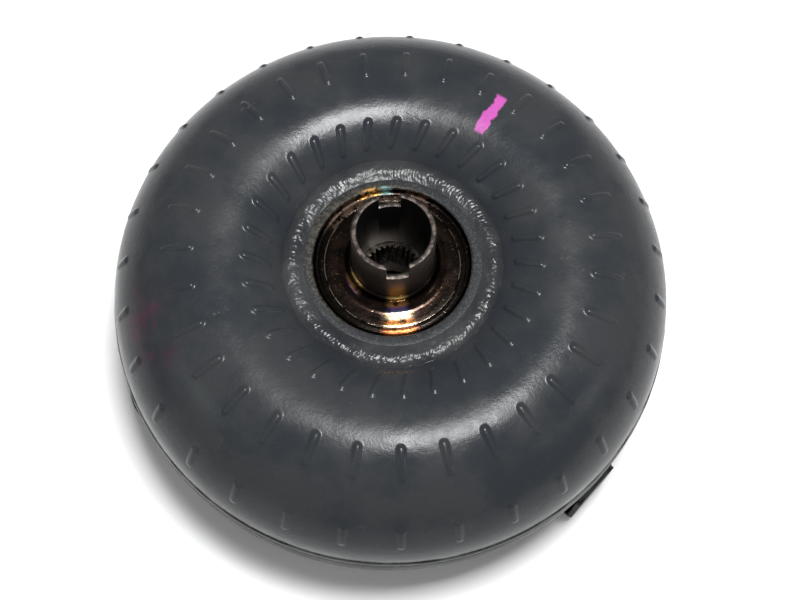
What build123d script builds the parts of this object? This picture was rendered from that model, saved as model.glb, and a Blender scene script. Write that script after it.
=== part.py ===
from build123d import *
import math
import os

# Passenger-car torque converter without a lock-up clutch.
# Row frame: millimetres, +Z along the rotation axis towards the transmission,
# origin at the centre of the crank pilot's end face.

# ---- driving dimensions -------------------------------------------------
TORUS_R = 106.6            # radius of the flow ring's centre line
TORUS_Z = 79.0             # height of the plane where impeller and turbine face each other
SHELL_OUT = 61.4           # impeller shell section, outer radius
SHELL_IN = 58.2            # impeller shell section, inner radius
TURBINE_OUT = 56.0         # turbine shell section, outer radius
TURBINE_IN = 54.0
CORE_OUT = 24.0            # core ring section, outer radius
CORE_IN = 22.5
HALF_GAP = 1.5             # impeller and turbine each stop this far from the middle plane

FIN_COUNT = 31             # impeller blades, and embossed ribs in each of the shell's three rings
TURBINE_BLADES = 33
STATOR_BLADES = 15
BLADE_T = 1.0
FIN_START = 7.2            # degrees from +X to the first middle rib
RIB_H = 1.3                # height of an embossed rib
RIB_W = 6.0

WALL_R = 169.3             # cover's outer radius
WALL_T = 4.5
LIP_Z = 78.0
COVER_ARC_R = 52.5         # large outer corner radius of the cover
COVER_ARC_Z = 67.0
COVER_FACE_Z = 14.5
CENTRE_FACE_Z = 11.5       # stamped centre of the cover
SKIRT_R = 167.2            # impeller shell's skirt, inside the cover's counterbore
SKIRT_Z = 68.0

PILOT_R = 21.63
HUB_R = 23.81              # journal that runs in the transmission pump
HUB_BORE_R = 20.5
HUB_TIP_Z = 167.0
HUB_END_Z = 105.0
NOTCH_W = 12.5
NOTCH_D = 12.0
NOTCH_ANGLE = 98.0
HUB_RIM_R = 56.2           # hub flange, butted to the impeller shell
HUB_FACE_Z = 124.0
HUB_RECESS_R = 45.9
HUB_RECESS_Z = 120.4
HUB_UNDER_Z = 110.0

LUG_COUNT = 3
LUG_ANGLE = 319.5
LUG_PCR = 292.1 / 2        # radius of the drive lugs' bolt circle
LUG_W = 33.0
LUG_T = 3.0
LUG_PAD_Z = 6.5
LUG_TOP_Z = 50.0
LUG_OUT_R = 171.2
LUG_IN_R = 126.0
NUT_BORE_R = 4.0           # 3/8-16 thread, drawn at its minor diameter
NUT_H = 7.8

STATOR_BORE_R = 40.0
RACE_R = 27.0              # one-way clutch inner race
ROLLER_R = 4.25
ROLLER_COUNT = 8
ROLLER_PCR = 31.35
NEEDLE_R = 1.1
NEEDLE_COUNT = 28
FLANGE_Z = 46.4            # joint between turbine shell and turbine hub
RIVET_COUNT = 12
RIVET_PCR = 52.0

os.makedirs("parts", exist_ok=True)


# ---- helpers ------------------------------------------------------------
def ring_point(radius, angle):
    """Point (r, z) on a circle about the flow ring's centre line."""
    turn = math.radians(angle)
    return (TORUS_R + radius * math.cos(turn), TORUS_Z + radius * math.sin(turn))


def ring_arc(radius, start, end):
    """Arc about the flow ring's centre line, from one angle to another."""
    return ThreePointArc(
        ring_point(radius, start), ring_point(radius, (start + end) / 2), ring_point(radius, end))


def ring_angle_at_z(radius, z, inboard=False):
    """Angle at which a circle about the centre line reaches height z."""
    angle = math.degrees(math.asin((z - TORUS_Z) / radius))
    return 180 - angle if inboard else angle


def ring_angle_at_r(radius, r):
    """Angle above the middle plane at which the circle reaches radius r."""
    return math.degrees(math.acos((r - TORUS_R) / radius))


def outline(*items):
    """Closed face in the (r, z) plane; an item is a point or an arc, joined by straight lines."""
    edges = []
    first = None
    last = None
    for item in items:
        is_point = isinstance(item, tuple)
        start = Vector(*item) if is_point else item @ 0
        end = start if is_point else item @ 1
        if last is not None and (start - last).length > 1e-6:
            edges.append(Line(last, start))
        if not is_point:
            edges.append(item)
        first = first or start
        last = end
    if (first - last).length > 1e-6:
        edges.append(Line(last, first))
    return make_face(edges)


def turned(*items, sweep=360):
    """Solid of revolution about Z from a closed outline."""
    return revolve(Plane.XZ * outline(*items), Axis.Z, sweep)


def plain_ring(r_in, r_out, z_low, z_high):
    return turned((r_in, z_low), (r_out, z_low), (r_out, z_high), (r_in, z_high))


def around(shape, count, start=0.0):
    """Copies of a shape, evenly spaced about Z."""
    return [Rot(0, 0, start + 360 / count * k) * shape for k in range(count)]


def box_between(x_low, x_high, y_low, y_high, z_low, z_high):
    centre = Pos((x_low + x_high) / 2, (y_low + y_high) / 2, (z_low + z_high) / 2)
    return centre * Box(x_high - x_low, y_high - y_low, z_high - z_low)


def splined_hole(minor, major, teeth, z_low, z_high):
    """Solid that cuts an internal spline."""
    step = 2 * math.pi / teeth
    points = []
    for k in range(teeth):
        for radius, part in ((minor, -0.30), (major, -0.20), (major, 0.20), (minor, 0.30)):
            angle = step * (k + part)
            points.append((radius * math.cos(angle), radius * math.sin(angle)))
    face = make_face(Polyline(*points, close=True))
    return Pos(0, 0, z_low) * extrude(face, z_high - z_low)


def save(name, shape):
    """Write one node; a list becomes a group of separate solids."""
    solids = shape if isinstance(shape, list) else [shape]
    flat = [solid for item in solids for solid in item.solids()]
    node = flat[0] if len(flat) == 1 else Compound(children=flat)
    node.label = name
    export_step(node, f"parts/{name}.step")


# ---- cover side ---------------------------------------------------------
def cover_arc(radius, start, end):
    """Arc of the cover's large corner; angles from +R, negative downwards."""
    def at(angle):
        turn = math.radians(angle)
        return (WALL_R - COVER_ARC_R + radius * math.cos(turn), COVER_ARC_Z + radius * math.sin(turn))
    return ThreePointArc(at(start), at((start + end) / 2), at(end))


def make_front_cover():
    inner_arc = COVER_ARC_R - WALL_T
    counterbore = SKIRT_R + 0.1
    return turned(
        (0, CENTRE_FACE_Z), (58, CENTRE_FACE_Z), (64, COVER_FACE_Z),
        cover_arc(COVER_ARC_R, -90, 0),
        (WALL_R, LIP_Z - 1.0), (WALL_R - 1.0, LIP_Z), (counterbore, LIP_Z),
        (counterbore, SKIRT_Z - 2), (WALL_R - WALL_T, SKIRT_Z - 2),
        cover_arc(inner_arc, 0, -90),
        (62.5, COVER_FACE_Z + WALL_T), (56.5, CENTRE_FACE_Z + WALL_T), (0, CENTRE_FACE_Z + WALL_T))


def make_crank_pilot():
    return turned(
        (0, 0), (PILOT_R - 1.2, 0), (PILOT_R, 1.2), (PILOT_R, 8.5), (PILOT_R - 0.6, 9.2),
        (26, 9.2), (26, CENTRE_FACE_Z), (0, CENTRE_FACE_Z))


def make_pilot_weld():
    edge = ThreePointArc((26, 9.4), (27.7, 9.9), (29, CENTRE_FACE_Z))
    return turned(edge, (26, CENTRE_FACE_Z))


def make_lug():
    """One stamped U-shaped bracket, in the +X direction."""
    outside = Polyline(
        (LUG_OUT_R, LUG_TOP_Z), (LUG_OUT_R, LUG_PAD_Z), (LUG_IN_R, LUG_PAD_Z), (LUG_IN_R, 15.2),
        (LUG_IN_R + LUG_T, 15.2), (LUG_IN_R + LUG_T, LUG_PAD_Z + LUG_T),
        (LUG_OUT_R - LUG_T, LUG_PAD_Z + LUG_T), (LUG_OUT_R - LUG_T, LUG_TOP_Z), close=True)
    section = make_face(Plane.XZ * outside)
    body = extrude(section, LUG_W / 2, both=True)
    body = fillet(body.edges().filter_by(Axis.Y).group_by(Axis.Z)[0], 5.0)
    inner_bends = body.edges().filter_by(Axis.Y).filter_by_position(
        Axis.Z, LUG_PAD_Z + LUG_T - 0.01, LUG_PAD_Z + LUG_T + 0.01)
    body = fillet(inner_bends, 1.5)
    corners = body.edges().filter_by(Axis.X).group_by(Axis.Z)[-1]
    body = fillet(corners, 6.0)
    return body - Pos(LUG_PCR, 0, LUG_PAD_Z) * Cylinder(5.2, 20)


def make_lug_nut():
    blank = Pos(LUG_PCR, 0, LUG_PAD_Z + LUG_T) * extrude(
        RegularPolygon(7.5, 6, major_radius=False), NUT_H)
    blank = chamfer(blank.faces().sort_by(Axis.Z)[-1].outer_wire().edges(), 0.6)
    return blank - Pos(LUG_PCR, 0, 0) * Cylinder(NUT_BORE_R, 80)


def make_lug_welds(cover, lug):
    """Weld beads along a bracket's top edge and along its inner leg."""
    top = Rot(0, 0, -5) * turned(
        (164.0, 46.5), (168.7, 46.5), (170.2, LUG_TOP_Z), (169.9, 51.6), (168.8, 53.4), (165.0, 54.5),
        sweep=10)
    foot = Rot(0, 0, -6) * turned((120.5, 17), (121, 13.6), (125.6, 9.6), (127.5, 10), (127.5, 17), sweep=12)
    return [bead - cover - lug for bead in (top, foot)]


def make_seam_weld():
    return turned((168.02, LIP_Z), (169.2, LIP_Z), (169.1, 79.3), (168.7, 80.4), (168.02, 81.2))


def make_balance_weights():
    plate = box_between(88, 102, -14, 14, COVER_FACE_Z - 2.5, COVER_FACE_Z)
    plate = fillet(plate.edges().filter_by(Axis.Z), 3)
    return [Rot(0, 0, 25) * plate, Rot(0, 0, 62) * plate]


# ---- impeller -----------------------------------------------------------
def make_rib(angle, length, azimuth, slant=0.0):
    """One embossed rib on the impeller shell: a rounded pad that follows the shell's section."""
    r, z = ring_point(SHELL_OUT, angle)
    turn = math.radians(angle)
    normal = Vector(math.cos(turn), 0, math.sin(turn))
    along = Vector(-math.sin(turn), 0, math.cos(turn))
    plane = Plane(origin=(r, 0, z), x_dir=along, z_dir=normal)
    pad = plane * Rot(0, 0, slant) * extrude(SlotOverall(length, RIB_W), 3.0, both=True)
    return Rot(0, 0, azimuth) * (pad & make_rib.skin)


def make_impeller_shell():
    rim = ring_angle_at_r(SHELL_OUT, HUB_RIM_R)
    rim_in = ring_angle_at_r(SHELL_IN, HUB_RIM_R)
    shell = turned(
        ring_arc(SHELL_OUT, rim, 0), (SKIRT_R, LIP_Z), (SKIRT_R, SKIRT_Z), (164.0, SKIRT_Z), (164.0, 77.0),
        ring_arc(SHELL_IN, 0, rim_in))
    make_rib.skin = turned(
        ring_arc(SHELL_OUT + RIB_H, 140, 4), ring_arc(SHELL_OUT - 0.8, 4, 140))
    middle = make_rib(74.0, 18.5, FIN_START)
    inner = make_rib(117.5, 19.0, FIN_START + 3.2, slant=-13.0)
    outer = make_rib(29.5, 17.0, FIN_START - 0.4)
    ribs = [copy for rib in (middle, inner, outer) for copy in around(rib, FIN_COUNT)]
    return shell + ribs


def make_blade(thickness, bend, region, count, start):
    """Sheet blades: radial outboard, slanted inboard, trimmed to the flow channel."""
    knee = 100.0
    slant = math.tan(math.radians(bend))
    inboard = 45.0
    middle_line = Polyline((172, 0), (knee, 0), (inboard, (knee - inboard) * slant))
    strip = trace(middle_line, thickness)
    sheet = extrude(strip, 170)
    blade = sheet & region
    return around(blade, count, start)


def channel(outer, inner, z_outboard, z_inboard, r_min, upper):
    """Half of the flow channel, as a solid of revolution."""
    if upper:
        return turned(
            ring_arc(outer, ring_angle_at_z(outer, z_outboard), ring_angle_at_r(outer, r_min)),
            (r_min, z_inboard),
            ring_arc(inner, ring_angle_at_z(inner, z_inboard, True), ring_angle_at_z(inner, z_outboard)))
    return turned(
        ring_arc(outer, ring_angle_at_z(outer, z_outboard), -ring_angle_at_r(outer, r_min)),
        (r_min, z_inboard),
        ring_arc(inner, ring_angle_at_z(inner, z_inboard, True) - 360, ring_angle_at_z(inner, z_outboard)))


def make_core(z_outboard, end):
    """Half of the core ring, from the middle plane to the stator's shroud."""
    def angle_at(radius):
        return ring_angle_at_z(radius, z_outboard)
    return turned(
        ring_arc(CORE_OUT, angle_at(CORE_OUT), end), ring_arc(CORE_IN, end, angle_at(CORE_IN)))


def make_impeller_hub():
    journal_foot = ThreePointArc((25.4, 126.2), (28.6, 122.2), (34.5, 120.8))
    hub = turned(
        (HUB_BORE_R, HUB_END_Z + 0.6), (HUB_BORE_R + 0.6, HUB_END_Z), (HUB_R, HUB_END_Z),
        (HUB_R, HUB_UNDER_Z), (HUB_RIM_R, HUB_UNDER_Z), (HUB_RIM_R, HUB_FACE_Z),
        (HUB_RECESS_R, HUB_FACE_Z), (HUB_RECESS_R, HUB_RECESS_Z), (39.9, HUB_RECESS_Z),
        (39.6, HUB_RECESS_Z + 0.3), (36.5, HUB_RECESS_Z + 0.3), journal_foot.reversed(),
        (25.4, 127.4), (24.6, 127.4), (HUB_R, 128.2),
        (HUB_R, HUB_TIP_Z - 0.7), (HUB_R - 0.7, HUB_TIP_Z),
        (HUB_BORE_R + 1.2, HUB_TIP_Z), (HUB_BORE_R, HUB_TIP_Z - 1.2))
    slot = box_between(-30, 30, -NOTCH_W / 2, NOTCH_W / 2, HUB_TIP_Z - NOTCH_D, HUB_TIP_Z + 5)
    return hub - Rot(0, 0, NOTCH_ANGLE) * slot


def make_hub_weld():
    top = ThreePointArc((52.2, HUB_FACE_Z), (58.4, 126.4), (65.0, 124.25))
    shell_side = ring_angle_at_r(SHELL_OUT, 65.0)
    rim = ring_angle_at_r(SHELL_OUT, HUB_RIM_R)
    return turned(
        (HUB_RIM_R, HUB_FACE_Z), (52.2, HUB_FACE_Z), top, ring_arc(SHELL_OUT, shell_side, rim))


# ---- turbine ------------------------------------------------------------
def make_turbine_shell():
    edge_z = TORUS_Z - HALF_GAP
    flange_top = FLANGE_Z + 2
    out_end = ring_angle_at_z(TURBINE_OUT, FLANGE_Z, True) - 360
    in_end = ring_angle_at_z(TURBINE_IN, flange_top, True) - 360
    shell = turned(
        ring_arc(TURBINE_OUT, ring_angle_at_z(TURBINE_OUT, edge_z), out_end),
        (42.0, FLANGE_Z), (42.0, flange_top),
        ring_arc(TURBINE_IN, in_end, ring_angle_at_z(TURBINE_IN, edge_z)))
    return shell - around(Pos(RIVET_PCR, 0, FLANGE_Z) * Cylinder(2.6, 12), RIVET_COUNT)


def make_turbine_hub():
    hub = turned(
        (10, 18.8), (20.8, 18.8), (21.8, 19.8), (21.8, 38.4), (23.8, 40.4),
        (58, 40.4), (58, FLANGE_Z), (41.8, FLANGE_Z), (41.8, 48.4), (10, 48.4))
    hub = hub - splined_hole(11.3, 12.5, 30, 18, 49)
    return hub - around(Pos(RIVET_PCR, 0, FLANGE_Z) * Cylinder(2.6, 20), RIVET_COUNT)


def make_rivets():
    rivet = turned(
        (0, 38.6), ThreePointArc((3.0, 38.6), (3.9, 39.3), (4.2, 40.4)), (2.5, 40.4),
        (2.5, FLANGE_Z + 2), (4.2, FLANGE_Z + 2),
        ThreePointArc((4.2, FLANGE_Z + 2), (3.9, FLANGE_Z + 3.1), (3.0, FLANGE_Z + 3.8)), (0, FLANGE_Z + 3.8))
    return around(Pos(RIVET_PCR, 0, 0) * rivet, RIVET_COUNT)


# ---- stator and one-way clutch ------------------------------------------
def make_stator_wheel():
    hub = turned(
        (STATOR_BORE_R, 98), (50.3, 98), ring_arc(58.0, 165, 195), (50.3, 57), (STATOR_BORE_R, 57),
        (STATOR_BORE_R, 58.8), (41.6, 58.8), (41.6, 60.5), (STATOR_BORE_R, 60.5))
    shroud = turned(ring_arc(CORE_OUT, 140, 220), ring_arc(21.0, 220, 140))
    section = make_face([
        ThreePointArc((-2, -13.5), (7.5, -1.0), (-5, 13.5)), ThreePointArc((-5, 13.5), (1.5, -1.0), (-2, -13.5))])
    blade = Plane(origin=(49, 0, TORUS_Z), x_dir=(0, 1, 0), z_dir=(1, 0, 0)) * extrude(section, 36.5)
    passage = turned(ring_arc(58.3, 167, 193), ring_arc(CORE_OUT - 0.5, 217, 143))
    return hub + shroud + around(blade & passage, STATOR_BLADES)


def pocket_frame(index):
    return Rot(0, 0, 360 / ROLLER_COUNT * index)


def make_cam_ring():
    """Outer race pressed into the stator; each pocket narrows towards its roller."""
    ring = plain_ring(28.6, STATOR_BORE_R, 68, 90)
    wide = Rot(0, 0, -15) * Pos(ROLLER_PCR, 0, 0) * Circle(4.6)
    snug = Pos(ROLLER_PCR, 0, 0) * Circle(4.7)
    pocket = make_hull((wide + snug).edges())
    cutter = Pos(0, 0, 60) * extrude(pocket, 40)
    return ring - [pocket_frame(k) * cutter for k in range(ROLLER_COUNT)]


def make_spring():
    """Folded strip spring that pushes a roller towards the narrow end of its pocket."""
    folds = [(33.4 if k % 2 else 29.8, -5.3 - 1.5 * k) for k in range(5)]
    strip = trace(Polyline(*folds), 0.4)
    return Pos(0, 0, 72) * extrude(strip, 14)


def make_inner_race():
    blank = turned(
        (12, 62), (26.4, 62), (RACE_R, 62.6), (RACE_R, 101.4), (26.4, 102), (23.6, 102),
        (23.6, 103.8), (23.2, 104.2), (12, 104.2))
    blank = blank - Pos(0, 0, 62) * extrude(Circle(19.0), 20)
    return blank - splined_hole(16.8, 18.4, 32, 61, 105)


def make_front_cap():
    return turned(
        (27.4, 90), (39.9, 90), (39.9, 98), (46, 98), (46, 101), (40.5, 103.2), (40.5, 105.2),
        (24.6, 105.2), (24.6, 102.4), (27.4, 102.4))


def make_rear_cap():
    return turned(
        (27.4, 68), (39.9, 68), (39.9, 60.5), (36.5, 60.5), (36.5, 53.2), (22, 53.2), (22, 61.6), (27.4, 61.6))


def make_snap_ring():
    ring = plain_ring(37.3, 41.4, 58.9, 60.4)
    return ring - box_between(30, 45, -4, 4, 55, 65)


def make_needle_cage(z_mid):
    ring = plain_ring(27.5, 38.5, z_mid - 0.7, z_mid + 0.7)
    window = Pos(33, 0, z_mid) * Box(8.3, 2 * NEEDLE_R + 0.1, 4)
    return ring - around(window, NEEDLE_COUNT)


def make_needles(z_mid):
    needle = Pos(33, 0, z_mid) * Rot(0, 90, 0) * Cylinder(NEEDLE_R, 8)
    return around(needle, NEEDLE_COUNT)


# ---- write the nodes ----------------------------------------------------
cover = make_front_cover()
lug = make_lug()
edge_top = TORUS_Z + HALF_GAP
edge_low = TORUS_Z - HALF_GAP
impeller_channel = channel(SHELL_IN - 0.1, CORE_OUT + 0.1, edge_top, 95.5, 57.0, True)
turbine_channel = channel(TURBINE_IN - 0.1, CORE_OUT + 0.1, edge_low, 62.5, 62.5, False)

save("front_cover", cover)
save("crank_pilot", make_crank_pilot())
save("pilot_weld", make_pilot_weld())
save("drive_lugs", around(lug, LUG_COUNT, LUG_ANGLE))
save("lug_nuts", around(make_lug_nut(), LUG_COUNT, LUG_ANGLE))
save("lug_welds", [copy for bead in make_lug_welds(cover, lug) for copy in around(bead, LUG_COUNT, LUG_ANGLE)])
save("balance_weights", make_balance_weights())
save("seam_weld", make_seam_weld())

save("impeller_shell", make_impeller_shell())
save("impeller_blades", make_blade(BLADE_T, 13.0, impeller_channel, FIN_COUNT, FIN_START))
save("impeller_core_ring", make_core(edge_top, 138))
save("impeller_hub", make_impeller_hub())
save("hub_weld", make_hub_weld())
save("impeller_bearing_hub_race", plain_ring(26.5, 39.5, 108.8, HUB_UNDER_Z))
save("impeller_bearing_cage", make_needle_cage(107.6))
save("impeller_bearing_needles", make_needles(107.6))
save("impeller_bearing_stator_race", plain_ring(26.5, 39.5, 105.2, 106.4))

save("stator_wheel", make_stator_wheel())
save("stator_front_cap", make_front_cap())
save("stator_rear_cap", make_rear_cap())
save("stator_snap_ring", make_snap_ring())
save("clutch_cam_ring", make_cam_ring())
save("clutch_springs", [pocket_frame(k) * make_spring() for k in range(ROLLER_COUNT)])
save("clutch_inner_race", make_inner_race())
for k in range(ROLLER_COUNT):
    save(f"clutch_roller_{k + 1}", pocket_frame(k) * Pos(ROLLER_PCR, 0, TORUS_Z) * Cylinder(ROLLER_R, 18))

save("turbine_bearing_stator_race", plain_ring(26, 37.5, 52.0, 53.2))
save("turbine_bearing_cage", make_needle_cage(50.8))
save("turbine_bearing_needles", make_needles(50.8))
save("turbine_bearing_hub_race", plain_ring(26, 39.5, 48.4, 49.6))
save("turbine_shell", make_turbine_shell())
save("turbine_blades", make_blade(BLADE_T, -13.0, turbine_channel, TURBINE_BLADES, 4.0))
save("turbine_core_ring", make_core(edge_low, -138))
save("turbine_hub", make_turbine_hub())
save("turbine_hub_rivets", make_rivets())
save("cover_thrust_washer", plain_ring(13, 30, CENTRE_FACE_Z + WALL_T, 18.5))
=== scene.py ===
import math

import bpy
import numpy as np
from mathutils import Matrix, Vector, noise


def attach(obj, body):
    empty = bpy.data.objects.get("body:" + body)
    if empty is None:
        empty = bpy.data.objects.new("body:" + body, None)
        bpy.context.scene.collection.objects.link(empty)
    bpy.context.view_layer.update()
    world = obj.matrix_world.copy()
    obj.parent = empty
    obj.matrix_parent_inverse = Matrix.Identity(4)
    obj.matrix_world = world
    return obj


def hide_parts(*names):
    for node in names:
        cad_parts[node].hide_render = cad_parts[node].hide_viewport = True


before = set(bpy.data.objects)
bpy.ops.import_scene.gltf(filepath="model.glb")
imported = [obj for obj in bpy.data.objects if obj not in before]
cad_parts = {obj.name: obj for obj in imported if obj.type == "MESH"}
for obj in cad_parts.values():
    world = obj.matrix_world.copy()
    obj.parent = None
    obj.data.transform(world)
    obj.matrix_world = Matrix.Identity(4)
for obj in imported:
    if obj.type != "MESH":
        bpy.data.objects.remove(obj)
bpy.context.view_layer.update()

MM = 0.001

# ---- sizes, in millimetres and degrees, as in the CAD source ------------
TORUS_R, TORUS_Z = 106.6, 79.0
SHELL_OUT, SHELL_IN = 61.4, 58.2
RIM_R = 56.2
FINS, FIN_START = 31, 7.2
PITCH = 2 * math.pi / FINS
RIB_H, RIB_W = 1.3, 6.0
RIB_RINGS = (  # centre on the section, length, azimuth past FIN_START, slant, share of the height
    (73.4, 22.0, 0.0, 0.0, 1.0),
    (117.5, 20.5, 3.2, 13.0, 1.0),
    (29.5, 19.0, -0.4, 0.0, 0.85))
SKIRT_R, SKIRT_IN_R, SKIRT_Z, LIP_Z = 167.2, 164.0, 68.0, 78.0
WALL_R, WALL_T = 169.3, 4.5
COVER_ARC_R, COVER_ARC_Z, COVER_FACE_Z, CENTRE_FACE_Z = 52.5, 67.0, 14.5, 11.5
HUB_R, BORE_R, HUB_TIP_Z, HUB_END_Z = 23.81, 20.5, 167.0, 105.0
HUB_FACE_Z, RECESS_R, RECESS_Z, HUB_UNDER_Z = 124.0, 45.9, 120.4, 110.0
NOTCH_W, NOTCH_D, NOTCH_AZIMUTH = 12.5, 12.0, 98.0
NOTCH_FLOOR_Z = HUB_TIP_Z - NOTCH_D
WELD_IN, WELD_OUT, WELD_H = 52.2, 65.0, 1.75


# ---- mesh helpers -------------------------------------------------------
def arc(centre, radius, start, end, steps):
    """Points on an arc; angles in degrees."""
    turns = np.radians(np.linspace(start, end, steps))
    return [(centre[0] + radius * math.cos(t), centre[1] + radius * math.sin(t)) for t in turns]


def torus_arc(radius, start, end, steps):
    return arc((TORUS_R, TORUS_Z), radius, start, end, steps)


def section_angle(radius, r):
    """Angle on the shell's section, in degrees, where it comes in to radius r from the axis."""
    return 180 - math.degrees(math.acos((TORUS_R - r) / radius))


def soften(points, radius, steps=3):
    """Round every real corner of a closed outline, keeping gentle ones as they are."""
    result = []
    count = len(points)
    for k, point in enumerate(points):
        here = Vector(point)
        back = Vector(points[k - 1]) - here
        ahead = Vector(points[(k + 1) % count]) - here
        on_axis = here.x < 1e-6
        gentle = back.length < 1e-6 or ahead.length < 1e-6 or back.angle(ahead) > math.radians(155)
        if on_axis or gentle:
            result.append((here.x, here.y))
            continue
        reach = min(radius, 0.45 * back.length, 0.45 * ahead.length)
        first = here + back.normalized() * reach
        last = here + ahead.normalized() * reach
        for s in np.linspace(0, 1, steps + 1):
            spot = first * (1 - s) ** 2 + here * 2 * s * (1 - s) + last * s ** 2
            result.append((spot.x, spot.y))
    return result


def mesh_object(name, vertices, faces, sharp=35.0):
    mesh = bpy.data.meshes.new(name)
    mesh.from_pydata([tuple(v) for v in np.asarray(vertices) * MM], [], faces)
    mesh.validate()
    mesh.polygons.foreach_set("use_smooth", [True] * len(mesh.polygons))
    mesh.set_sharp_from_angle(angle=math.radians(sharp))
    piece = bpy.data.objects.new(name, mesh)
    bpy.context.scene.collection.objects.link(piece)
    return piece


def lathe(name, outline, segments, push=None, sharp=35.0):
    """Solid of revolution from a closed (r, z) outline, counter-clockwise seen with r to the right.

    push(r, z, phi) gives (dr, dz) for each grid point. An outline that starts and ends on the axis is
    closed by a pole at each end.
    """
    outline = np.array(outline, float)
    poles = outline[0, 0] < 1e-6 and outline[-1, 0] < 1e-6
    rings = outline[1:-1] if poles else outline
    phi = np.linspace(0, 2 * math.pi, segments, endpoint=False)
    r = np.repeat(rings[:, 0:1], segments, axis=1)
    z = np.repeat(rings[:, 1:2], segments, axis=1)
    angle = np.repeat(phi[None, :], len(rings), axis=0)
    if push is not None:
        dr, dz = push(r, z, angle)
        r = r + dr
        z = z + dz
    vertices = np.stack([r * np.cos(angle), r * np.sin(angle), z], axis=-1).reshape(-1, 3)
    rows = len(rings)
    faces = []
    for i in range(rows - 1 if poles else rows):
        a = i * segments
        b = ((i + 1) % rows) * segments
        for j in range(segments):
            k = (j + 1) % segments
            faces.append((a + j, a + k, b + k, b + j))
    if poles:
        low = len(vertices)
        vertices = np.vstack([vertices, [0, 0, outline[0, 1]], [0, 0, outline[-1, 1]]])
        last = (rows - 1) * segments
        for j in range(segments):
            k = (j + 1) % segments
            faces.append((low, k, j))
            faces.append((low + 1, last + j, last + k))
    return mesh_object(name, vertices, faces, sharp)


def smooth_step(x):
    x = np.clip(x, 0, 1)
    return x * x * (3 - 2 * x)


def rough(points, scale, seed=0.0):
    """Smooth noise, about -1 to 1, at points in millimetres."""
    flat = points.reshape(-1, 3) / scale
    values = [noise.noise(Vector((p[0] + seed, p[1] - seed, p[2] + 2 * seed))) for p in flat]
    return np.array(values).reshape(points.shape[:-1])


def ring_points(r, z, phi):
    return np.stack([r * np.cos(phi), r * np.sin(phi), z], axis=-1)


# ---- impeller side ------------------------------------------------------
def rib_height(angle, phi, r, centre, length, azimuth, slant):
    """Height of one ring of ribs over the shell's smooth section; each rib tapers away from the crown."""
    along = (angle - math.radians(centre)) * SHELL_OUT
    turn = (phi - math.radians(azimuth) + PITCH / 2) % PITCH - PITCH / 2
    tilt = math.radians(slant)
    across = (turn * r - along * math.tan(tilt)) * math.cos(tilt)
    past_end = np.maximum(np.abs(along) - (length - RIB_W) / 2, 0)
    away = np.sqrt(past_end ** 2 + across ** 2)
    towards_crown = math.copysign(1, 90 - centre)
    tail = np.clip(0.5 - towards_crown * along / length, 0, 1) ** 2
    half = RIB_W / 2 * (1 - 0.3 * tail)
    return RIB_H * (1 - 0.5 * tail) * smooth_step((half + 0.1 - away) / (half - 0.5))


def shell_push(r, z, phi):
    """Raises the ribs square to the shell's section, on its outside only."""
    angle = np.arctan2(z - TORUS_Z, r - TORUS_R)
    outside = np.hypot(z - TORUS_Z, r - TORUS_R) > SHELL_OUT - 0.05
    height = np.zeros_like(r)
    for centre, length, offset, slant, share in RIB_RINGS:
        ribs = rib_height(angle, phi, r, centre, length, FIN_START + offset, slant)
        height = np.maximum(height, share * ribs)
    height = np.where(outside & (z > TORUS_Z + 0.5), height, 0.0)
    return height * np.cos(angle), height * np.sin(angle)


def make_impeller_shell():
    outer = torus_arc(SHELL_OUT, 0, section_angle(SHELL_OUT, RIM_R), 168)
    inner = torus_arc(SHELL_IN, section_angle(SHELL_IN, RIM_R), 0, 40)
    skirt = [(SKIRT_IN_R, LIP_Z - 1), (SKIRT_IN_R, SKIRT_Z), (SKIRT_R, SKIRT_Z), (SKIRT_R, LIP_Z)]
    return lathe("impeller_shell_skin", outer + inner + skirt, FINS * 40, shell_push)


def weld_push(low_r, high_r, ripple, pitch, lump, seed):
    """Ripples of a weld bead between two radii: curved steps along the bead, with uneven lumps.

    The ripples are strongest towards the front and the back and faint at the sides.
    """
    middle, half = (low_r + high_r) / 2, (high_r - low_r) / 2
    rise = 0.7

    def push(r, z, phi):
        across = (r - middle) / half
        fade = np.where(np.abs(across) < 1, 1 - across ** 4, 0)
        points = ring_points(r, z, phi)
        wander = rough(points, 9.0, seed)
        travel = phi * middle + 3.0 * across ** 2 + 1.5 * across + 1.3 * wander
        step = (travel / pitch) % 1.0
        wave = np.where(step < rise, step / rise, (1 - step) / (1 - rise)) - 0.5
        strength = (0.6 + 0.4 * rough(points, 12.0, seed + 1)) * (0.4 + 0.6 * np.sin(phi) ** 2)
        lumps = rough(points, 6.0, seed + 3) + 0.5 * rough(points, 2.0, seed + 5)
        return np.zeros_like(r), fade * (ripple * strength * wave + lump * lumps)
    return push


def make_hub_weld():
    rim, side = section_angle(SHELL_OUT, RIM_R), section_angle(SHELL_OUT, WELD_OUT)
    under = torus_arc(SHELL_OUT - 0.25, rim, side - 1, 8)
    top = []
    for s in np.linspace(0, 1, 34):
        bulge = WELD_H * math.sin(math.pi * s ** 0.82)
        top.append((WELD_OUT + (WELD_IN - WELD_OUT) * s, HUB_FACE_Z + 0.03 + 0.02 * s + bulge))
    seat = [(WELD_IN + 0.2, HUB_FACE_Z - 0.15), (RIM_R, HUB_FACE_Z - 0.15)]
    bead = weld_push(WELD_IN, WELD_OUT, ripple=0.17, pitch=2.0, lump=0.42, seed=2.0)

    def push(r, z, phi):
        dr, dz = bead(r, z, phi)
        return dr, np.where(z > HUB_FACE_Z + 0.02, dz, 0.0)
    return lathe("hub_weld_bead", seat + under + top, 1500, push, sharp=70)


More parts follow.
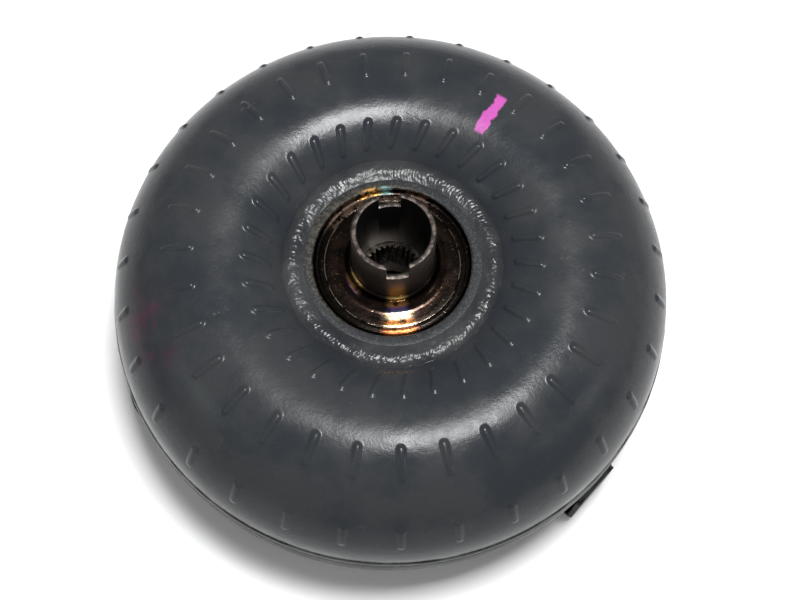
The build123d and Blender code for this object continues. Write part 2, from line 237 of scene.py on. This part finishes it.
def hub_outline():
    """Bore, flange, recess with a shallow groove, fillet and journal, from the bore's lower end outwards."""
    foot = arc((33.2, 129.0), 8.3, 200, 268, 14)
    outline = [
        (BORE_R, HUB_END_Z), (HUB_R, HUB_END_Z), (HUB_R, HUB_UNDER_Z), (RIM_R, HUB_UNDER_Z),
        (RIM_R, HUB_FACE_Z), (RECESS_R + 1.0, HUB_FACE_Z), (RECESS_R, HUB_FACE_Z - 1.2),
        (RECESS_R - 0.2, RECESS_Z + 0.4), (RECESS_R - 1.4, RECESS_Z), (43.2, RECESS_Z),
        (43.0, RECESS_Z + 0.25), (40.2, RECESS_Z + 0.3), (39.9, RECESS_Z + 0.05),
        (39.5, RECESS_Z + 0.3), (36.0, RECESS_Z + 0.36)]
    outline += foot[::-1]
    outline += [(25.4, 127.4), (24.6, 127.6), (HUB_R, 128.4), (HUB_R, HUB_TIP_Z), (BORE_R, HUB_TIP_Z)]
    return outline


def notch_cutter():
    """Bar across the hub's tip that cuts both drive notches."""
    half = Vector((30.0, NOTCH_W / 2, NOTCH_D)) * MM
    corners = [(x * half.x, y * half.y, z * half.z) for z in (0, 1) for y in (-1, 1) for x in (-1, 1)]
    faces = [(0, 2, 3, 1), (4, 5, 7, 6), (0, 1, 5, 4), (2, 6, 7, 3), (0, 4, 6, 2), (1, 3, 7, 5)]
    mesh = bpy.data.meshes.new("notch_cutter")
    mesh.from_pydata(corners, [], faces)
    cutter = bpy.data.objects.new("notch_cutter", mesh)
    bpy.context.scene.collection.objects.link(cutter)
    turn = Matrix.Rotation(math.radians(NOTCH_AZIMUTH), 4, "Z")
    cutter.matrix_world = Matrix.Translation((0, 0, NOTCH_FLOOR_Z * MM)) @ turn
    return cutter


def make_impeller_hub():
    hub = lathe("impeller_hub_turned", soften(hub_outline(), 0.7), 360)
    cutter = notch_cutter()
    cut = hub.modifiers.new("notches", "BOOLEAN")
    cut.object = cutter
    cut.solver = "EXACT"
    break_edges(hub, 0.35, 50)
    apply_modifiers(hub)
    bpy.data.objects.remove(cutter)
    hub.data.set_sharp_from_angle(angle=math.radians(35))
    return hub


def break_edges(piece, width, sharper_than=40):
    """Small bevel on the edges that turn by more than an angle in degrees."""
    bevel = piece.modifiers.new("broken_edges", "BEVEL")
    bevel.width = width * MM
    bevel.segments = 2
    bevel.limit_method = "ANGLE"
    bevel.angle_limit = math.radians(sharper_than)
    bevel.use_clamp_overlap = True


def apply_modifiers(piece):
    """Turn a piece's modifiers into its final mesh."""
    depsgraph = bpy.context.evaluated_depsgraph_get()
    depsgraph.update()
    final = bpy.data.meshes.new_from_object(piece.evaluated_get(depsgraph))
    piece.modifiers.clear()
    piece.data = final
    final.polygons.foreach_set("use_smooth", [True] * len(final.polygons))


# ---- cover side ---------------------------------------------------------
def make_front_cover():
    centre = (WALL_R - COVER_ARC_R, COVER_ARC_Z)
    counterbore = SKIRT_R + 0.1
    seat_z = SKIRT_Z - 2
    outline = [(0, CENTRE_FACE_Z), (57, CENTRE_FACE_Z), (58.5, 11.9), (62.5, 14.1), (64, COVER_FACE_Z)]
    outline += arc(centre, COVER_ARC_R, -90, 0, 48)
    outline += [(WALL_R, LIP_Z - 1.4), (WALL_R - 0.3, LIP_Z - 0.5), (WALL_R - 1.0, LIP_Z)]
    outline += [(counterbore, LIP_Z), (counterbore, seat_z), (WALL_R - WALL_T, seat_z)]
    outline += arc(centre, COVER_ARC_R - WALL_T, 0, -90, 24)
    outline += [(62.5, COVER_FACE_Z + WALL_T), (56.5, CENTRE_FACE_Z + WALL_T), (0, CENTRE_FACE_Z + WALL_T)]
    return lathe("front_cover_pressing", outline, 512)


def make_seam_weld():
    inner_r = 168.02
    outline = [(167.6, LIP_Z), (169.1, LIP_Z), (169.12, 78.6), (169.0, 79.4), (168.75, 80.1), (168.4, 80.8),
               (inner_r, 81.2), (inner_r, 79.0)]

    def push(r, z, phi):
        points = ring_points(r, z, phi)
        uneven = 0.3 * rough(points, 14.0, 4.0) + 0.12 * rough(points, 3.0, 9.0)
        on_top = (r > 168.2) & (z > LIP_Z + 0.2)
        return np.where(on_top, np.clip(uneven, -0.4, 0.1), 0.0), np.where(on_top, uneven, 0.0)
    return lathe("seam_weld_bead", outline, 720, push, sharp=70)


# ---- shader helpers -----------------------------------------------------
class Shader:
    """A material whose colour, roughness and bump are built from node sockets.

    x, y, z and radius are in metres and azimuth in radians, in the object's own coordinates, which are
    the shared frame's at rest. So the marks turn with their object.
    """

    def __init__(self, name):
        self.material = bpy.data.materials.new(name)
        self.material.use_nodes = True
        self.tree = self.material.node_tree
        self.surface = self.tree.nodes["Principled BSDF"]
        coordinates = self.tree.nodes.new("ShaderNodeTexCoord")
        self.place = coordinates.outputs["Object"]
        split = self.node("ShaderNodeSeparateXYZ", Vector=self.place)
        self.x, self.y, self.z = split.outputs
        square = self.math("ADD", self.times(self.x, self.x), self.times(self.y, self.y))
        self.radius = self.math("SQRT", square)
        self.azimuth = self.math("ARCTAN2", self.y, self.x)

    def node(self, kind, settings=None, **inputs):
        node = self.tree.nodes.new(kind)
        for key, value in (settings or {}).items():
            setattr(node, key, value)
        for key, value in inputs.items():
            self.feed(node.inputs[key.replace("_", " ")], value)
        return node

    def feed(self, socket, value):
        if isinstance(value, bpy.types.NodeSocket):
            self.tree.links.new(value, socket)
        else:
            socket.default_value = value

    def math(self, operation, first, second=0.0):
        node = self.tree.nodes.new("ShaderNodeMath")
        node.operation = operation
        self.feed(node.inputs[0], first)
        self.feed(node.inputs[1], second)
        return node.outputs[0]

    def times(self, *factors):
        product = factors[0]
        for factor in factors[1:]:
            product = self.math("MULTIPLY", product, factor)
        return product

    def plus(self, first, second):
        return self.math("ADD", first, second)

    def larger(self, first, second):
        return self.math("MAXIMUM", first, second)

    def wobble(self, noise, amount):
        """Noise centred on zero, with amount from end to end."""
        return self.times(self.math("SUBTRACT", noise, 0.5), amount)

    def noise(self, size_mm, detail=4.0, roughness=0.55, stretch=None, warp=0.0):
        place = self.place
        if stretch is not None:
            place = self.node("ShaderNodeVectorMath", {"operation": "MULTIPLY"}).outputs[0]
            self.tree.links.new(self.place, place.node.inputs[0])
            place.node.inputs[1].default_value = stretch
        return self.node("ShaderNodeTexNoise", Vector=place, Scale=1 / (size_mm * MM), Detail=detail,
                         Roughness=roughness, Distortion=warp).outputs["Fac"]

    def ring_noise(self, size_mm, around, detail=3.0):
        """Noise in (radius, height), nearly constant around the axis, as turning marks are."""
        swirl = self.times(self.azimuth, around * MM)
        vector = self.node("ShaderNodeCombineXYZ", X=self.radius, Y=swirl, Z=self.z).outputs[0]
        return self.node("ShaderNodeTexNoise", Vector=vector, Scale=1 / (size_mm * MM), Detail=detail,
                         Roughness=0.6).outputs["Fac"]

    def step(self, value, low, high):
        """0 below low, 1 above high, smooth between; low may be the larger of the two."""
        node = self.tree.nodes.new("ShaderNodeMapRange")
        node.interpolation_type = "SMOOTHSTEP"
        flip = low > high
        self.feed(node.inputs["Value"], value)
        node.inputs["From Min"].default_value = min(low, high)
        node.inputs["From Max"].default_value = max(low, high)
        node.inputs["To Min"].default_value = 1.0 if flip else 0.0
        node.inputs["To Max"].default_value = 0.0 if flip else 1.0
        return node.outputs["Result"]

    def band(self, value, low, high, soft):
        rise = self.step(value, low - soft, low + soft)
        return self.times(rise, self.step(value, high + soft, high - soft))

    def above(self, length, limit_mm, soft_mm):
        """1 past a limit and 0 before it, smooth within soft_mm on each side."""
        return self.step(length, (limit_mm - soft_mm) * MM, (limit_mm + soft_mm) * MM)

    def below(self, length, limit_mm, soft_mm):
        return self.step(length, (limit_mm + soft_mm) * MM, (limit_mm - soft_mm) * MM)

    def ring(self, low_mm, high_mm, soft_mm):
        return self.band(self.radius, low_mm * MM, high_mm * MM, soft_mm * MM)

    def sector(self, start, end, soft, azimuth=None):
        """1 between two azimuths in degrees, counter-clockwise from +X."""
        angle = self.azimuth if azimuth is None else azimuth
        return self.band(angle, math.radians(start), math.radians(end), math.radians(soft))

    def mix(self, amount, first, second):
        node = self.tree.nodes.new("ShaderNodeMix")
        node.data_type = "RGBA"
        self.feed(node.inputs["Factor"], amount)
        for socket, colour in ((node.inputs[6], first), (node.inputs[7], second)):
            self.feed(socket, colour if isinstance(colour, bpy.types.NodeSocket) else (*colour, 1.0))
        return node.outputs[2]

    def blend(self, amount, first, second):
        """Plain number between first and second."""
        node = self.tree.nodes.new("ShaderNodeMix")
        self.feed(node.inputs["Factor"], amount)
        self.feed(node.inputs[2], first)
        self.feed(node.inputs[3], second)
        return node.outputs[0]

    def ramp(self, value, stops):
        node = self.tree.nodes.new("ShaderNodeValToRGB")
        ramp = node.color_ramp
        while len(ramp.elements) < len(stops):
            ramp.elements.new(0.5)
        for element, (position, colour) in zip(ramp.elements, stops):
            element.position = position
            element.color = (*colour, 1.0)
        self.feed(node.inputs["Fac"], value)
        return node.outputs["Color"]

    def bump(self, height, depth_mm, under=None):
        node = self.node("ShaderNodeBump", Strength=1.0, Distance=depth_mm * MM, Height=height)
        if under is not None:
            self.tree.links.new(under, node.inputs["Normal"])
        return node.outputs["Normal"]

    def finish(self, colour, roughness, normal=None, metal=0.0, **fixed):
        if isinstance(colour, bpy.types.NodeSocket):
            self.feed(self.surface.inputs["Base Color"], colour)
        else:
            self.surface.inputs["Base Color"].default_value = (*colour, 1.0)
        self.feed(self.surface.inputs["Roughness"], roughness)
        self.feed(self.surface.inputs["Metallic"], metal)
        if normal is not None:
            self.tree.links.new(normal, self.surface.inputs["Normal"])
        for key, value in fixed.items():
            self.surface.inputs[key.replace("_", " ")].default_value = value
        return self.material


def srgb(red, green, blue):
    """Linear colour from 0-255 display values."""
    def linear(v):
        v /= 255
        return v / 12.92 if v <= 0.04045 else ((v + 0.055) / 1.055) ** 2.4
    return (linear(red), linear(green), linear(blue))


# ---- materials ----------------------------------------------------------
def pink_marks(s, tone):
    """One dab of pink paint on the shell's crown and a faint magenta smear near its left edge."""
    ragged = s.plus(s.azimuth, s.wobble(s.noise(9, 2), 0.06))
    dab = s.times(s.sector(57, 60.5, 0.3, ragged), s.ring(92, 120, 1.2), s.blend(s.noise(6, 2), 0.55, 0.95))
    smear = s.times(s.ring(135, 156, 8), s.sector(-169, -150, 5.7), s.step(s.noise(22, 4, 0.6), 0.42, 0.62))
    tone = s.mix(dab, tone, srgb(196, 88, 176))
    return s.mix(s.times(smear, 0.26), tone, srgb(96, 34, 66))


def paint_material(name, dark, light, roughness, peel=0.06, sheen=0.17, pink=False):
    """Dark semi-gloss paint with orange peel, fine dust, small pits and dull scuffs."""
    s = Shader(name)
    cloud = s.noise(38, 3)
    grit = s.noise(0.9, 2, 0.7)
    dust = s.step(grit, 0.66, 0.76)
    pit = s.step(s.noise(1.6, 3, 0.7), 0.36, 0.28)
    scuff = s.times(s.step(s.noise(24, 6, 0.7, warp=0.6), 0.62, 0.7), s.step(s.noise(2.2, 3), 0.5, 0.62))
    tone = s.mix(s.step(cloud, 0.38, 0.64), dark, light)
    tone = s.mix(s.times(dust, 0.16), tone, srgb(150, 152, 148))
    tone = s.mix(s.times(pit, 0.4), tone, srgb(20, 21, 24))
    tone = s.mix(s.times(scuff, 0.22), tone, srgb(100, 100, 96))
    if pink:
        tone = pink_marks(s, tone)
    gloss = s.blend(s.step(cloud, 0.35, 0.65), roughness - 0.03, roughness + 0.06)
    gloss = s.plus(gloss, s.times(scuff, 0.2))
    gloss = s.plus(gloss, s.wobble(s.noise(5, 4), 0.12))
    normal = s.bump(s.noise(2.1, 2, 0.5), peel)
    normal = s.bump(grit, 0.035, normal)
    normal = s.bump(s.noise(14, 2, 0.4), 0.25, normal)
    return s.finish(tone, gloss, normal, Specular_IOR_Level=sheen)


def steel_material(name, tone_a, tone_b, roughness, ring_mm, mark_mm, oil):
    """Turned or pressed steel: fine concentric marks and oil stains."""
    s = Shader(name)
    marks = s.ring_noise(ring_mm, 0.4)
    blotch = s.noise(13, 4, 0.6, warp=0.3)
    stain = s.times(s.step(s.noise(7, 5, 0.7), 0.55, 0.7), oil)
    tone = s.mix(s.step(blotch, 0.35, 0.65), tone_a, tone_b)
    tone = s.mix(s.times(s.step(marks, 0.55, 0.75), 0.25), tone, srgb(60, 56, 52))
    tone = s.mix(stain, tone, srgb(70, 52, 34))
    gloss = s.blend(s.step(blotch, 0.3, 0.7), roughness, roughness + 0.12)
    normal = s.bump(marks, mark_mm)
    normal = s.bump(s.noise(0.7, 2), 0.01, normal)
    return s.finish(tone, gloss, normal, 1.0)


# Heat colours round the hub's foot, by radius in millimetres; the near-white bands at 34.6 and 39.8 mm are a
# painted reflection of the softbox.
HEAT_START, HEAT_SPAN = 20.0, 38.0
HEAT_AND_REFLECTION_COLOURS = (
    (23.8, (196, 152, 84)), (25.6, (222, 190, 128)), (27.6, (196, 134, 62)), (29.0, (120, 86, 150)),
    (30.6, (96, 108, 146)), (32.6, (206, 166, 92)), (34.6, (232, 222, 196)), (36.4, (190, 124, 62)),
    (38.8, (156, 96, 52)), (39.8, (222, 212, 196)), (41.0, (150, 84, 44)), (45.6, (84, 52, 32)))


def heat_film_and_reflection(s, reflection_streak):
    """Oily brown film, darker past 37.5 mm over the recess floor, with rings of heat colour painted in only
    where the near reflection streak falls, as a painted reflection, and a smaller patch of them at the left.
    """
    wander = s.wobble(s.noise(16, 3, 0.6), 1.4 * MM)
    outwards = s.math("SUBTRACT", s.plus(s.radius, wander), HEAT_START * MM)
    stops = [((radius - HEAT_START) / HEAT_SPAN, srgb(*colour)) for radius, colour in HEAT_AND_REFLECTION_COLOURS]
    tint = s.ramp(s.math("DIVIDE", outwards, HEAT_SPAN * MM), stops)
    left = s.times(s.sector(-160, -135, 6.9), s.below(s.radius, 28.5, 1.5), 0.8)
    vivid = s.times(s.larger(reflection_streak, left), s.step(s.noise(5, 3, 0.6), 0.3, 0.5))
    film = s.mix(s.step(s.noise(10, 5, 0.65, warp=0.5), 0.38, 0.62), srgb(24, 21, 20), srgb(48, 37, 31))
    film = s.mix(s.above(s.radius, 37.5, 3.5), film, srgb(22, 19, 17))
    return s.mix(s.times(vivid, 0.85), film, tint)


def worn_faces(s, journal):
    """The hub's tip and the floors of its two notches."""
    reach = 16
    at_notch = s.larger(*(s.sector(middle - reach, middle + reach, 0.6)
                          for middle in (NOTCH_AZIMUTH, NOTCH_AZIMUTH - 180)))
    floor = s.band(s.z, (NOTCH_FLOOR_Z - 0.2) * MM, (NOTCH_FLOOR_Z + 0.2) * MM, 0.1 * MM)
    return s.larger(s.above(s.z, HUB_TIP_Z - 0.25, 0.15), s.times(journal, at_notch, floor))


def hub_material():
    """Turned steel hub: heat colours with a painted reflection streak, oily film, a bore darkened with
    painted shade, stained recess and an uneven edge of paint.
    """
    s = Shader("hub_steel_heat_tinted")

    # where each finish lies
    # Near sector where the softbox's reflection streak falls: the heat colours and gold are painted in only
    # here, as a painted reflection.
    reflection_streak = s.sector(-93, -71, 6.3)
    journal = s.times(s.below(s.radius, HUB_R + 0.5, 0.3), s.above(s.z, 129, 2))
    bore = s.below(s.radius, BORE_R + 0.45, 0.25)
    bore_end = s.times(bore, s.below(s.z, HUB_END_Z + 0.8, 0.2))
    bore_wall = s.times(bore, s.above(s.z, HUB_END_Z + 0.8, 0.2))
    on_face = s.above(s.z, HUB_FACE_Z - 0.8, 0.4)
    lip = s.times(s.above(s.radius, 46.25, 0.15), on_face)
    off_centre = s.plus(s.radius, s.math("SUBTRACT", s.times(s.x, 0.08), s.times(s.y, 0.05)))
    painted = s.times(s.above(off_centre, 46.8, 0.4), on_face)
    rust = s.times(s.ring(40.2, 46.6, 0.3), s.sector(60, 150, 11.5), s.step(s.noise(6, 5, 0.7), 0.4, 0.55))
    far_lip = s.ring(44.1, 48.4, 0.3)
    ragged = s.plus(s.azimuth, s.wobble(s.noise(2.4, 4, 0.65), 0.3))
    # Amber and teal: heat colours painted only in the far sector where the far reflection streak shows them,
    # a painted reflection.
    amber = s.times(far_lip, s.sector(103, 115, 3.4, ragged), s.step(s.noise(2, 4, 0.6), 0.42, 0.56))
    teal = s.times(far_lip, s.sector(94, 102, 2.3, ragged), s.step(s.noise(1.6, 4, 0.65), 0.32, 0.52))
    groove_edge = s.times(s.ring(39.5, 39.9, 0.1), s.step(s.noise(7, 4), 0.38, 0.55))
    specks = s.times(s.step(s.noise(1.1, 2, 0.6), 0.68, 0.74), s.above(s.radius, 24.9, 0.3))
    marks = s.ring_noise(0.45, 0.5)

    # colour, from the film outwards
    barrel = s.mix(s.noise(12, 3), srgb(104, 94, 88), srgb(138, 126, 118))
    # Gold on the lower barrel inside the streak: a painted reflection of the heat colour.
    barrel = s.mix(s.times(reflection_streak, s.below(s.z, 142, 8), 0.75), barrel, srgb(226, 168, 84))
    scraped = s.mix(s.step(s.noise(3, 4), 0.4, 0.6), srgb(38, 34, 32), srgb(72, 66, 62))
    stained = s.mix(s.step(s.noise(1.9, 5, 0.7, warp=0.6), 0.42, 0.56), srgb(56, 54, 46), srgb(20, 16, 14))
    paint_grain = s.mix(s.step(s.noise(0.6, 3, 0.7), 0.52, 0.7), srgb(36, 38, 41), srgb(92, 92, 90))
    tone = heat_film_and_reflection(s, reflection_streak)
    layers = (
        (journal, barrel),
        (worn_faces(s, journal), scraped),
        # Bore wall painted near-black: painted shade inside the bore.
        (bore, srgb(20, 19, 20)),
        (bore_end, srgb(210, 200, 190)),
        (s.times(rust, 0.7), srgb(60, 40, 26)),
        (s.times(groove_edge, 0.6), srgb(190, 178, 160)),
        (s.times(specks, 0.6), srgb(190, 170, 140)),
        (s.times(s.step(marks, 0.52, 0.74), 0.3), srgb(36, 30, 28)),
        (lip, stained),
        (painted, paint_grain),
        (s.times(amber, 0.75), srgb(172, 124, 50)),
        (s.times(teal, 0.75), srgb(92, 124, 122)))
    for amount, colour in layers:
        tone = s.mix(amount, tone, colour)

    # shine and relief
    bare = s.math("SUBTRACT", 1.0, painted)
    dull = s.larger(s.larger(rust, teal), lip)
    metal = s.times(bare, s.math("SUBTRACT", 1.0, s.times(dull, 0.8)))
    # Less metal on the bore wall keeps its painted shade dark.
    metal = s.math("SUBTRACT", metal, s.times(bore_wall, 0.75))
    gloss = s.blend(painted, s.blend(s.noise(8, 4), 0.1, 0.22), 0.22)
    gloss = s.plus(gloss, s.times(s.math("SUBTRACT", dull, painted), 0.3))
    gloss = s.plus(gloss, s.times(s.larger(bore, journal), 0.25))
    normal = s.bump(s.times(marks, bare), 0.025)
    normal = s.bump(s.noise(1.8, 2, 0.5), 0.06, normal)
    return s.finish(tone, gloss, normal, metal, Anisotropic=0.2, Specular_IOR_Level=0.2)


def cast_material(name, tone, shade):
    """Die-cast metal with soft blotches and a fine grain."""
    s = Shader(name)
    blotch = s.noise(10, 4)
    colour = s.mix(s.step(blotch, 0.35, 0.65), tone, shade)
    return s.finish(colour, s.blend(blotch, 0.36, 0.52), s.bump(s.noise(0.9, 3), 0.05), 1.0)


def phenolic_material(name):
    """Brown moulded washer material with short upright fibres."""
    s = Shader(name)
    fibre = s.noise(1.2, 4, 0.7, stretch=(1, 1, 4))
    colour = s.mix(s.step(fibre, 0.4, 0.62), srgb(84, 52, 30), srgb(118, 78, 46))
    return s.finish(colour, s.blend(fibre, 0.5, 0.66), s.bump(fibre, 0.04))


# ---- the object ---------------------------------------------------------
def dress(piece, material):
    piece.data.materials.clear()
    piece.data.materials.append(material)


paint = paint_material("housing_paint_top", srgb(40, 43, 47), srgb(49, 51, 53), 0.24, pink=True)
# The housing's own paint, painted darker on the cover side as painted shade.
shaded_cover_paint = paint_material("housing_paint_cover_shaded", srgb(32, 33, 35), srgb(42, 42, 44), 0.32, sheen=0.05)
weld_paint = paint_material("housing_paint_weld", srgb(38, 40, 43), srgb(54, 55, 56), 0.25, peel=0.1,
                            sheen=0.24)
hub_finish = hub_material()
sheet = steel_material("oiled_pressed_steel", srgb(150, 148, 146), srgb(176, 172, 166), 0.32,
                       ring_mm=1.4, mark_mm=0.02, oil=0.25)
machined = steel_material("oiled_turned_steel", srgb(52, 49, 46), srgb(112, 106, 98), 0.2,
                          ring_mm=0.5, mark_mm=0.02, oil=0.3)
ground = steel_material("ground_bearing_steel", srgb(186, 186, 188), srgb(204, 204, 206), 0.18,
                        ring_mm=0.4, mark_mm=0.006, oil=0.12)
aluminium = cast_material("die_cast_aluminium", srgb(190, 190, 190), srgb(168, 168, 168))
phenolic = phenolic_material("brown_phenolic")

HOUSING_PAINT = ("crank_pilot", "pilot_weld", "drive_lugs", "lug_nuts", "lug_welds", "balance_weights")
MACHINED = ("turbine_hub", "clutch_inner_race")
ALUMINIUM = ("stator_wheel", "stator_front_cap", "stator_rear_cap")
BEVELS = {"drive_lugs": 0.5, "crank_pilot": 0.25, "lug_nuts": 0.2, "balance_weights": 0.25}

for node_name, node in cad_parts.items():
    if node_name in HOUSING_PAINT:
        dress(node, shaded_cover_paint)
    elif node_name in MACHINED:
        dress(node, machined)
    elif node_name in ALUMINIUM:
        dress(node, aluminium)
    elif node_name == "cover_thrust_washer":
        dress(node, phenolic)
    elif "bearing" in node_name or "clutch" in node_name or node_name == "stator_snap_ring":
        dress(node, ground)
    else:
        dress(node, sheet)

for node_name, width in BEVELS.items():
    break_edges(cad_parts[node_name], width)

skins = [
    (make_impeller_shell(), paint, "impeller_shell", "housing_paint"),
    (make_hub_weld(), weld_paint, "hub_weld", "housing_paint"),
    (make_impeller_hub(), hub_finish, "impeller_hub", "hub_steel"),
    (make_front_cover(), shaded_cover_paint, "front_cover", "housing_paint"),
    (make_seam_weld(), weld_paint, "seam_weld", "housing_paint"),
]
for skin, material, node_name, slot_name in skins:
    dress(skin, material)
    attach(skin, "housing")
    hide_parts(node_name)


# ---- studio, in metres --------------------------------------------------
FLOOR_HALF = 6.0
AIM = (0, 0, 0.1)
CAMERA_BASE_Z, CAMERA_DISTANCE = 0.140, 0.73595
CAMERA_TILT, CAMERA_YAW, CAMERA_PITCH, CAMERA_ROLL = 22.6855, -0.4018, -2.1987, 2.3105
LENS_MM, SENSOR_MM = 57.994, 36


def make_floor():
    s = Shader("pale_floor")
    s.finish(s.mix(s.noise(400, 2), (0.86, 0.86, 0.86), (0.9, 0.9, 0.9)), 0.7)
    corners = [(x * FLOOR_HALF, y * FLOOR_HALF, 0) for x, y in ((-1, -1), (1, -1), (1, 1), (-1, 1))]
    mesh = bpy.data.meshes.new("floor")
    mesh.from_pydata(corners, [], [(0, 1, 2, 3)])
    mesh.materials.append(s.material)
    floor = bpy.data.objects.new("floor", mesh)
    bpy.context.scene.collection.objects.link(floor)


def area_light(name, position, side, power, colour=(1, 1, 1)):
    """Square lamp aimed at the object; power in watts."""
    data = bpy.data.lights.new(name, "AREA")
    data.shape = "RECTANGLE"
    data.size = side
    data.size_y = side
    data.energy = power
    data.color = colour
    light = bpy.data.objects.new(name, data)
    bpy.context.scene.collection.objects.link(light)
    light.location = position
    light.rotation_euler = (Vector(AIM) - Vector(position)).to_track_quat("-Z", "Y").to_euler()


def make_world(strength):
    world = bpy.data.worlds.new("studio")
    world.use_nodes = True
    background = world.node_tree.nodes["Background"]
    background.inputs["Color"].default_value = (1, 1, 1, 1)
    background.inputs["Strength"].default_value = strength
    bpy.context.scene.world = world


def make_camera():
    """Looks down at the hub from the front, 67 degrees above the horizon, and is turned slightly off it."""
    tilt = Matrix.Rotation(math.radians(CAMERA_TILT), 4, "X")
    yaw = Matrix.Rotation(math.radians(CAMERA_YAW), 4, "Y")
    pitch = Matrix.Rotation(math.radians(CAMERA_PITCH), 4, "X")
    roll = Matrix.Rotation(math.radians(CAMERA_ROLL), 4, "Z")
    place = tilt @ Vector((0, 0, CAMERA_DISTANCE)) + Vector((0, 0, CAMERA_BASE_Z))
    data = bpy.data.cameras.new("camera")
    data.sensor_width = SENSOR_MM
    data.lens = LENS_MM
    data.clip_start = 0.01
    camera = bpy.data.objects.new("camera", data)
    bpy.context.scene.collection.objects.link(camera)
    camera.matrix_world = Matrix.Translation(place) @ tilt @ yaw @ pitch @ roll
    bpy.context.scene.camera = camera


make_floor()
area_light("overhead_softbox", (0.17, 0.05, 1.75), 0.42, 38)
area_light("left_fill", (-1.9, -0.7, 1.5), 0.5, 2.5, (0.92, 1.0, 0.96))
area_light("right_fill", (2.0, -0.5, 1.2), 0.5, 2)
make_world(0.35)
make_camera()
bpy.context.scene.view_settings.view_transform = "Standard"

bpy.context.view_layer.update()
